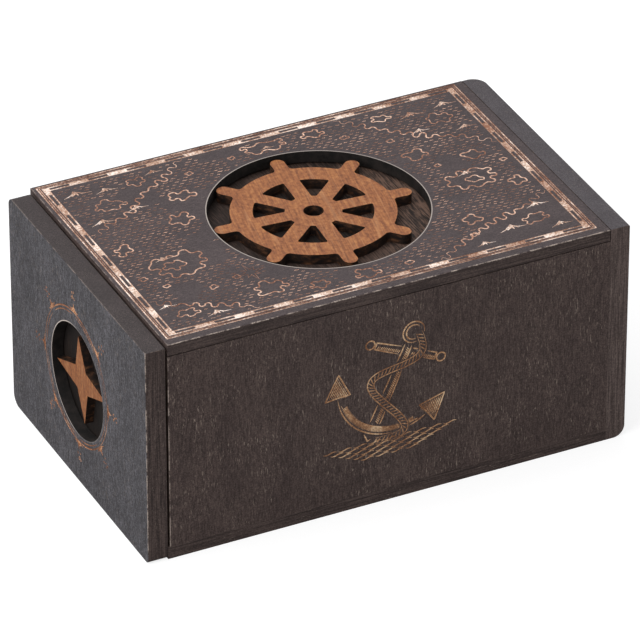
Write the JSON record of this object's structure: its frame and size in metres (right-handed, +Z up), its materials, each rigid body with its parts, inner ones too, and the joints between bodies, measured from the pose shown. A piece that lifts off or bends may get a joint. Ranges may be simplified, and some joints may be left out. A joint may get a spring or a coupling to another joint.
{
  "type": "puzzle box",
  "caption": "Stained plywood puzzle box with a sliding drawer, a turning ship's wheel in its lid that works rack bolts, and a star knob that works a latch.",
  "frame": {"origin": "middle of the box's footprint, at table height", "axes": "+X along the length from the drawer's front to the end cap, +Y to the back, +Z up"},
  "size_m": [0.15, 0.0922, 0.0705],
  "materials": {
    "stained_ply": "dark espresso stain, satin, fine upright grain, pale wear at the edges",
    "engraved_lid": "charcoal stain with laser engraving down to coppery wood",
    "engraved_panel": "charcoal stain with laser engraving",
    "figure_wood": "orange-brown oiled veneer with laser-charred cut sides",
    "dark_disc": "dark brown stain, matt",
    "plain_ply": "unfinished birch plywood with laser-browned edges",
    "mechanism_ply": "laser-cut birch plywood with charred teeth",
    "dowel_wood": "plain beech dowel",
    "screw_steel": "zinc-plated steel"
  },
  "bodies": {
    "shell": {"base": "stained_ply", "front_wall": "stained_ply", "back_wall": "stained_ply", "end_cap": "stained_ply", "cap_dowels": "dowel_wood", "lid": "engraved_lid", "lock_deck": "plain_ply", "bolt_guide_left": "plain_ply", "bolt_guide_right": "plain_ply", "mechanism_cover": "plain_ply", "cover_screws": "screw_steel", "latch_keeper": "plain_ply"},
    "wheel": {"ship_wheel": "figure_wood", "wheel_disc": "dark_disc", "pinion": "mechanism_ply", "wheel_spindle": "dark_disc"},
    "front_bolt": {"bolt_front": "mechanism_ply"},
    "back_bolt": {"bolt_back": "mechanism_ply"},
    "drawer": {"drawer_panel": "engraved_panel", "front_backer": "plain_ply", "drawer_bottom": "plain_ply", "drawer_side_front": "plain_ply", "drawer_side_back": "plain_ply", "drawer_back": "plain_ply", "drawer_stop": "plain_ply", "latch_pegs": "dowel_wood"},
    "star": {"compass_star": "figure_wood", "star_disc": "dark_disc", "star_spindle": "dowel_wood", "latch_washer": "mechanism_ply", "latch_arm": "mechanism_ply"}
  },
  "joints": [
    {"name": "wheel_turn", "type": "hinge", "parent": "shell", "child": "wheel", "pos_m": [-0.0008, 0.0012, 0.0695], "axis": [0, 0, 1], "range_deg": [0, 90]},
    {"name": "front_bolt_slide", "type": "slide", "parent": "shell", "child": "front_bolt", "axis": [0, -1, 0], "range_m": [0, 0.01416]},
    {"name": "back_bolt_slide", "type": "slide", "parent": "shell", "child": "back_bolt", "axis": [0, 1, 0], "range_m": [0, 0.01416]},
    {"name": "drawer_slide", "type": "slide", "parent": "shell", "child": "drawer", "axis": [-1, 0, 0], "range_m": [0, 0.118]},
    {"name": "star_turn", "type": "hinge", "parent": "drawer", "child": "star", "pos_m": [-0.075, 0.0003, 0.0337], "axis": [1, 0, 0], "range_deg": [0, 90]}
  ],
  "couplings": [
    {"joint": "front_bolt_slide", "follows": "wheel_turn", "m_per_rad": 0.009},
    {"joint": "back_bolt_slide", "follows": "wheel_turn", "m_per_rad": 0.009}
  ]
}
